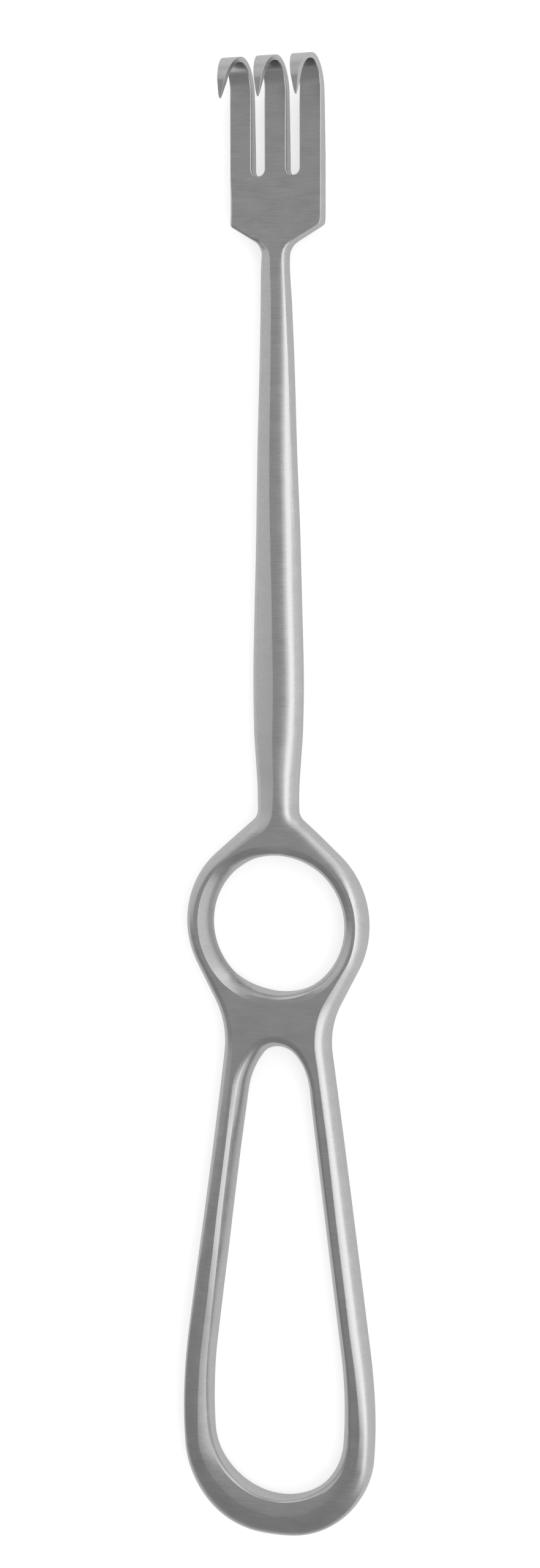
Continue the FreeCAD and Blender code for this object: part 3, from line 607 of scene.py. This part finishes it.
def prongTree():
    tree = bpy.data.node_groups.new("prongs", "GeometryNodeTree")
    face = tree.interface
    face.new_socket("Geometry", in_out="INPUT", socket_type="NodeSocketGeometry")
    face.new_socket("Geometry", in_out="OUTPUT", socket_type="NodeSocketGeometry")
    for name, kind in (("Path", "Object"), ("Section", "Object"), ("Prongs", "Int"),
                       ("Pitch", "Float"), ("Prong width", "Float"), ("Hook width", "Float"),
                       ("Tip width", "Float"), ("Point width", "Float"), ("Narrowing from", "Float"),
                       ("Apex at", "Float"), ("Point from", "Float"), ("Path length", "Float"),
                       ("Apex height", "Float"), ("Spread from", "Float"), ("Spread to", "Float"),
                       ("Tip spread", "Float"), ("Steel", "Material")):
        face.new_socket(name, in_out="INPUT", socket_type="NodeSocket" + kind)
    nodes, links = tree.nodes, tree.links
    given = nodes.new("NodeGroupInput").outputs
    result = nodes.new("NodeGroupOutput")
    node = nodeAdder(tree)

    def maths(operation, *inputs):
        return node("ShaderNodeMath", *inputs, operation=operation).outputs[0]

    def ranged(value, *limits):
        return node("ShaderNodeMapRange", value, *limits).outputs[0]

    pathInfo = node("GeometryNodeObjectInfo", given["Path"])
    sectionInfo = node("GeometryNodeObjectInfo", given["Section"])
    capture = node("GeometryNodeCaptureAttribute", pathInfo.outputs["Geometry"])
    for kind, name, source, output in (
            ("VECTOR", "Centre", "GeometryNodeInputPosition", "Position"),
            ("FLOAT", "Thinness", "GeometryNodeInputRadius", "Radius"),
            ("FLOAT", "Walked", "GeometryNodeSplineParameter", "Length")):
        capture.capture_items.new(kind, name)
        links.new(nodes.new(source).outputs[output], capture.inputs[name])
    sweep = node("GeometryNodeCurveToMesh", capture.outputs["Geometry"],
                 sectionInfo.outputs["Geometry"])
    sweep.inputs["Fill Caps"].default_value = True

    # the section shrinks in thickness about the path, and in width about the middle
    place = node("ShaderNodeSeparateXYZ", nodes.new("GeometryNodeInputPosition").outputs[0])
    centre = node("ShaderNodeSeparateXYZ", capture.outputs["Centre"])
    thin, walk = capture.outputs["Thinness"], capture.outputs["Walked"]
    bend = ranged(walk, given["Narrowing from"], given["Apex at"], given["Prong width"],
                  given["Hook width"])
    blade = ranged(walk, given["Apex at"], given["Point from"], given["Hook width"],
                   given["Tip width"])
    point = ranged(walk, given["Point from"], given["Path length"], given["Tip width"],
                   given["Point width"])
    width = maths("SUBTRACT", maths("ADD", bend, blade), given["Hook width"])
    pointed = maths("LESS_THAN", given["Point from"], walk)
    width = node("ShaderNodeMix", pointed, None, width, point, data_type="FLOAT").outputs[0]
    share = maths("DIVIDE", width, given["Prong width"])
    joined = node("ShaderNodeCombineXYZ", maths("MULTIPLY", place.outputs["X"], share))
    for axis in "YZ":
        offset = maths("SUBTRACT", place.outputs[axis], centre.outputs[axis])
        links.new(maths("MULTIPLY_ADD", offset, thin, centre.outputs[axis]), joined.inputs[axis])
    shaped = node("GeometryNodeSetPosition", sweep.outputs[0], None, joined.outputs[0])

    # one prong beside the next, the tips a little further apart than the prongs
    offset = node("ShaderNodeCombineXYZ", given["Pitch"])
    halfBack = maths("MULTIPLY", given["Pitch"], -0.5)
    first = maths("MULTIPLY", maths("SUBTRACT", given["Prongs"], 1.0), halfBack)
    start = node("ShaderNodeCombineXYZ", first)
    row = node("GeometryNodeMeshLine")
    links.new(given["Prongs"], row.inputs["Count"])
    links.new(start.outputs[0], row.inputs["Start Location"])
    links.new(offset.outputs[0], row.inputs["Offset"])
    copies = node("GeometryNodeInstanceOnPoints", row.outputs[0])
    links.new(shaped.outputs[0], copies.inputs["Instance"])
    real = node("GeometryNodeRealizeInstances", copies.outputs[0])
    place = node("ShaderNodeSeparateXYZ", nodes.new("GeometryNodeInputPosition").outputs[0])
    reach = ranged(place.outputs["Y"], given["Spread from"], given["Spread to"], 0.0, 1.0)
    up = maths("GREATER_THAN", place.outputs["Z"], given["Apex height"])
    spread = maths("SUBTRACT", maths("DIVIDE", given["Tip spread"], given["Pitch"]), 1.0)
    outwards = maths("MULTIPLY", spread, place.outputs["X"])
    stretch = maths("MULTIPLY", maths("MULTIPLY", reach, up), outwards)
    shift = node("ShaderNodeCombineXYZ", stretch)
    spreadOut = node("GeometryNodeSetPosition", real.outputs[0], None, None, shift.outputs[0])
    finished = node("GeometryNodeSetMaterial", spreadOut.outputs[0])
    links.new(given["Steel"], finished.inputs["Material"])
    links.new(finished.outputs[0], result.inputs[0])
    return tree


# satin steel: fine brushing across the tool, along the hooks, with a faint speckle and mottling
satin = {
    "colour": (0.41, 0.41, 0.413), "tint": 0.8, "roughness": 0.3,
    "acrossGrain": (2.6, 0.17, 0.4), "alongGrain": (0.17, 1.6, 1.6), "turnAt": (5.2, 6.6),
    "speckle": (0.17, 0.17, 0.17), "mottle": (3.2, 2.2, 3.2),
    "grainTone": 0.2, "speckleTone": 0.16, "mottleTone": 0.16,
    "grainRough": 0.1, "mottleRough": 0.1,
    "grainDetail": 1, "speckleDetail": 0, "mottleDetail": 2,
    "grainDepth": 0.0016, "speckleDepth": 0.0018, "mottleDepth": 0.01,
}


def satinSteel():
    p = satin
    material = bpy.data.materials.new("satinSteel")
    material.use_nodes = True
    tree = material.node_tree
    node = nodeAdder(tree)
    shader = tree.nodes["Principled BSDF"]
    place = node("ShaderNodeTexCoord").outputs["Object"]

    def maths(operation, *inputs):
        return node("ShaderNodeMath", *inputs, operation=operation).outputs[0]

    def grain(spacing, detail):
        scale = [1 / (s * mm) for s in spacing]
        mapped = node("ShaderNodeMapping", place, None, None, scale)
        texture = node("ShaderNodeTexNoise", mapped.outputs[0])
        texture.inputs["Scale"].default_value = 1
        texture.inputs["Detail"].default_value = detail
        return texture.outputs[0]

    def layered(start, *layers):
        # adds each layer about its middle, as strong as its share
        total = start
        for layer, share in layers:
            total = maths("ADD", total, maths("MULTIPLY", maths("SUBTRACT", layer, 0.5), share))
        return total

    height = node("ShaderNodeSeparateXYZ", place).outputs["Z"]
    onHook = node("ShaderNodeMapRange", height, *(z * mm for z in p["turnAt"])).outputs[0]
    across, along = (grain(p[name], p["grainDetail"]) for name in ("acrossGrain", "alongGrain"))
    brushing = node("ShaderNodeMix", onHook, None, across, along, data_type="FLOAT").outputs[0]
    speckle, mottle = (grain(p[name], p[name + "Detail"]) for name in ("speckle", "mottle"))
    tone = layered(1.0, (brushing, p["grainTone"]), (speckle, p["speckleTone"]),
                   (mottle, p["mottleTone"]))
    colour = node("ShaderNodeVectorMath", p["colour"], operation="SCALE")
    tree.links.new(tone, colour.inputs["Scale"])
    tree.links.new(colour.outputs[0], shader.inputs["Base Color"])
    rough = layered(p["roughness"], (brushing, p["grainRough"]), (mottle, p["mottleRough"]))
    tree.links.new(rough, shader.inputs["Roughness"])
    relief = layered(0.0, (brushing, p["grainDepth"]), (speckle, p["speckleDepth"]),
                     (mottle, p["mottleDepth"]))
    bump = node("ShaderNodeBump")
    bump.inputs["Distance"].default_value = mm
    tree.links.new(relief, bump.inputs["Height"])
    tree.links.new(bump.outputs[0], shader.inputs["Normal"])
    shader.inputs["Metallic"].default_value = 1
    shader.inputs["Specular Tint"].default_value = (p["tint"], p["tint"], p["tint"], 1)
    return material


steel = satinSteel()
carrier = bpy.data.objects.new("prongs", bpy.data.meshes.new("prongs"))
bpy.context.scene.collection.objects.link(carrier)
modifier = carrier.modifiers.new("prongs", "NODES")
modifier.node_group = prongTree()
inputs = {item.name: item.identifier for item in modifier.node_group.interface.items_tree
          if item.in_out == "INPUT"}
for name, value in (("Path", path), ("Section", section), ("Prongs", fork["prongs"]),
                    ("Steel", steel)):
    modifier[inputs[name]] = value
spreadFrom = apex - hook["apexFromEnd"] - hook["innerCentre"][0] + hook["innerRadius"]
for name, value in (("Pitch", pitch), ("Prong width", fork["prongWidth"]),
                    ("Hook width", hook["hookWidth"]), ("Tip width", hook["tipWidth"]),
                    ("Point width", hook["pointWidth"]), ("Narrowing from", bendAt),
                    ("Apex at", apexAt), ("Point from", walked[-1] - hook["pointLength"]),
                    ("Path length", walked[-1]), ("Apex height", middle + hook["innerCentre"][1]),
                    ("Spread from", spreadFrom),
                    ("Spread to", apex - hook["tipFromEnd"]), ("Tip spread", hook["tipSpread"])):
    modifier[inputs[name]] = float(value * mm)
bpy.context.view_layer.update()
evaluated = carrier.evaluated_get(bpy.context.evaluated_depsgraph_get())
prongMesh = bpy.data.meshes.new_from_object(evaluated)
carrier.modifiers.remove(modifier)
print("prongs:", len(prongMesh.vertices), "points")

# everything becomes one closed forging
build = bmesh.new()
made = [build.verts.new([c * mm for c in point]) for point in metal.points]
for ids in metal.faces:
    build.faces.new([made[i] for i in ids])
build.from_mesh(prongMesh)
seamFaces = [f for f in build.faces
             if all(abs(v.co.y - seamY * mm) < mergeDistance for v in f.verts)]
bmesh.ops.delete(build, geom=seamFaces, context="FACES_ONLY")
bmesh.ops.remove_doubles(build, verts=build.verts, dist=mergeDistance)
loose = [v for v in build.verts if not v.link_faces]
bmesh.ops.delete(build, geom=loose, context="VERTS")
bmesh.ops.recalc_face_normals(build, faces=build.faces)
openEdges = [e for e in build.edges if len(e.link_faces) != 2]
print("forging:", len(build.verts), "points,", len(build.faces), "faces,",
      sum(len(f.verts) - 2 for f in build.faces), "triangles,", len(openEdges), "open edges")
mesh = bpy.data.meshes.new("retractorForging")
build.to_mesh(mesh)
build.free()
mesh.materials.clear()
mesh.materials.append(steel)
for polygon in mesh.polygons:
    polygon.use_smooth = True
    polygon.material_index = 0
mesh.set_sharp_from_angle(angle=math.radians(grinding["crease"]))
forging = bpy.data.objects.new("retractorForging", mesh)
bpy.context.scene.collection.objects.link(forging)
for helper in (path, section, carrier):
    bpy.data.objects.remove(helper)
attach(forging, "root")
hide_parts("retractor")

# a pale floor that shows white behind the tool and keeps its shadow
floor = {
    "size": 8.0, "drop": 0.0001, "colour": (0.6, 0.6, 0.6), "glow": 0.58,
    "roughness": 0.9, "specular": 0.1,
}


def paleFloor():
    half = floor["size"] / 2
    data = bpy.data.meshes.new("paleFloor")
    corners = [(x * half, y * half, -floor["drop"]) for x, y in ((-1, -1), (1, -1), (1, 1), (-1, 1))]
    data.from_pydata(corners, [], [(0, 1, 2, 3)])
    obj = bpy.data.objects.new("paleFloor", data)
    bpy.context.scene.collection.objects.link(obj)
    material = bpy.data.materials.new("paleFloor")
    material.use_nodes = True
    tree = material.node_tree
    node = nodeAdder(tree)
    surface = tree.nodes["Principled BSDF"]
    surface.inputs["Base Color"].default_value = (*floor["colour"], 1)
    surface.inputs["Roughness"].default_value = floor["roughness"]
    surface.inputs["Specular IOR Level"].default_value = floor["specular"]
    surface.inputs["Emission Color"].default_value = (1, 1, 1, 1)
    ray = node("ShaderNodeLightPath").outputs
    seen = node("ShaderNodeMath", ray["Is Camera Ray"], ray["Is Glossy Ray"], operation="MAXIMUM")
    seen = node("ShaderNodeMath", seen.outputs[0], ray["Is Transmission Ray"], operation="MAXIMUM")
    glow = node("ShaderNodeMath", seen.outputs[0], floor["glow"], operation="MULTIPLY")
    tree.links.new(glow.outputs[0], surface.inputs["Emission Strength"])
    data.materials.append(material)


paleFloor()

# each softbox: turn from straight above to the right or towards the fork, distance, width across
# that turn, length, radiance, and its shift along its length
softboxes = {
    "leftSoftbox": ("right", -63, 0.9, 0.84, 2.0, 0.62, 0.85),
    "rightWide": ("right", 25, 1.0, 0.54, 2.4, 0.6, 0.6),
    "rightStrip": ("right", 35, 0.7, 0.27, 1.0, 1.4, -0.18),
    "rightSoftbox": ("right", 64, 0.9, 0.8, 3.0, 0.8, 0.3),
    "topSoftbox": ("right", -8, 1.2, 1.2, 1.6, 0.14, 0.35),
    "farSoftbox": ("fork", 62, 1.0, 1.0, 2.0, 0.4, 0.0),
}


def addSoftbox(name, towards, tilt, distance, width, length, radiance, shift):
    light = bpy.data.lights.new(name, "AREA")
    light.shape = "RECTANGLE"
    light.energy = radiance * math.pi * width * length
    obj = bpy.data.objects.new(name, light)
    angle = math.radians(tilt)
    out, height = distance * math.sin(angle), distance * math.cos(angle)
    if towards == "right":
        light.size, light.size_y = width, length
        obj.location, obj.rotation_euler = (out, shift, height), (0, angle, 0)
    else:
        light.size, light.size_y = length, width
        obj.location, obj.rotation_euler = (shift, out, height), (-angle, 0, 0)
    bpy.context.scene.collection.objects.link(obj)


for name, values in softboxes.items():
    addSoftbox(name, *values)

studio = {"level": 0.4, "backdrop": 1.0}
world = bpy.data.worlds.new("studio")
bpy.context.scene.world = world
world.use_nodes = True
node = nodeAdder(world.node_tree)
seen = node("ShaderNodeLightPath").outputs["Is Camera Ray"]
strength = node("ShaderNodeMapRange", seen, 0.0, 1.0, studio["level"], studio["backdrop"])
background = world.node_tree.nodes["Background"]
background.inputs["Color"].default_value = (1, 1, 1, 1)
world.node_tree.links.new(strength.outputs[0], background.inputs["Strength"])

# the camera stands where the photograph was taken
view = {
    "turn": 18.71, "rise": 5.63, "roll": -0.07, "distance": 371.6,
    "aim": (-1.30, 4.89, 2.3), "focal": 57.49, "sensor": 36,
}
turn, rise, roll = (math.radians(view[k]) for k in ("turn", "rise", "roll"))
back = Vector((math.sin(turn) * math.cos(rise), math.sin(rise), math.cos(turn) * math.cos(rise)))
side = Vector((math.cos(turn), 0, -math.sin(turn)))
up = back.cross(side)
rolledSide = side * math.cos(roll) + up * math.sin(roll)
rolledUp = up * math.cos(roll) - side * math.sin(roll)
camera = bpy.data.objects.new("camera", bpy.data.cameras.new("camera"))
camera.data.lens = view["focal"]
camera.data.sensor_width = view["sensor"]
place = (Vector(view["aim"]) + back * view["distance"]) * mm
turned = Matrix((rolledSide, rolledUp, back)).transposed().to_4x4()
camera.matrix_world = Matrix.Translation(place) @ turned
bpy.context.scene.collection.objects.link(camera)
bpy.context.scene.camera = camera
bpy.context.scene.view_settings.view_transform = "Standard"
